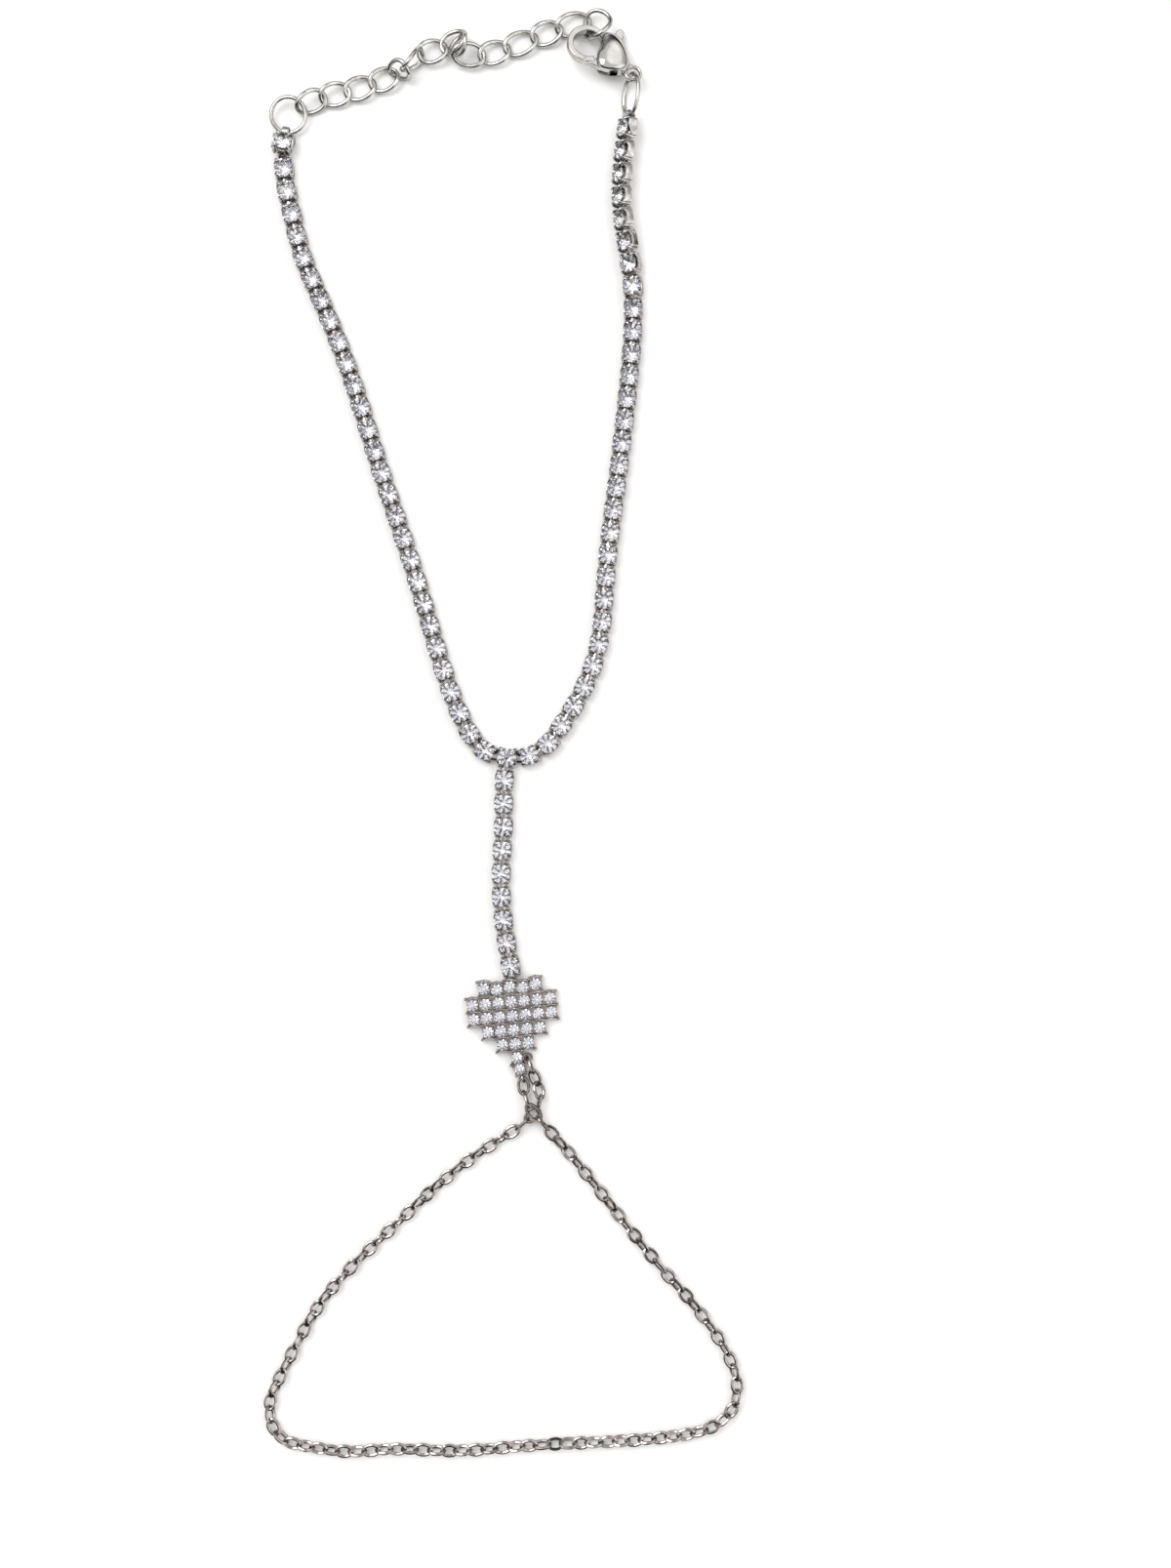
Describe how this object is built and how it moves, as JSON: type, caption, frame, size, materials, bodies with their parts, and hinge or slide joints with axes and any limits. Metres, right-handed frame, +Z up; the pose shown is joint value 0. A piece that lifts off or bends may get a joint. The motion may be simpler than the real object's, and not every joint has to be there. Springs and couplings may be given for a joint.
{
  "type": "hand chain bracelet",
  "caption": "Wrist strand of claw-set stones with a lever clasp and extender, a drop strand, a pave heart and a finger chain loop.",
  "frame": {"origin": "centre of the bounding box's bottom, on the table that the bracelet lies on", "axes": "+Y towards the clasp and the wrist end, -Y towards the finger loop, +Z up out of the stones, +X to the right seen from above"},
  "size_m": [0.0582, 0.1756, 0.0035],
  "materials": {
    "rhodium": "bright white plate, polished",
    "clear_stone": "clear cut stone on a foil back"
  },
  "bodies": {
    "bracelet": {"left_strand": "rhodium", "left_end_cup": "rhodium", "left_jump_ring": "rhodium", "extender_chain": "rhodium", "clasp_body": "rhodium", "right_jump_ring": "rhodium", "right_end_cup": "rhodium", "right_strand": "rhodium", "drop_strand": "rhodium", "heart": "rhodium", "right_lead": "rhodium", "left_lead": "rhodium", "finger_chain": "rhodium"},
    "lever": {"clasp_lever": "rhodium"}
  },
  "joints": [
    {"name": "lever_hinge", "type": "hinge", "parent": "bracelet", "child": "lever", "pos_m": [0.01256, 0.08033, 0.0022], "axis": [-0.166, -0.2606, -0.9511], "range_deg": [0, 22], "stiffness_Nm_per_rad": 0.004, "springref_deg": -17.19}
  ]
}
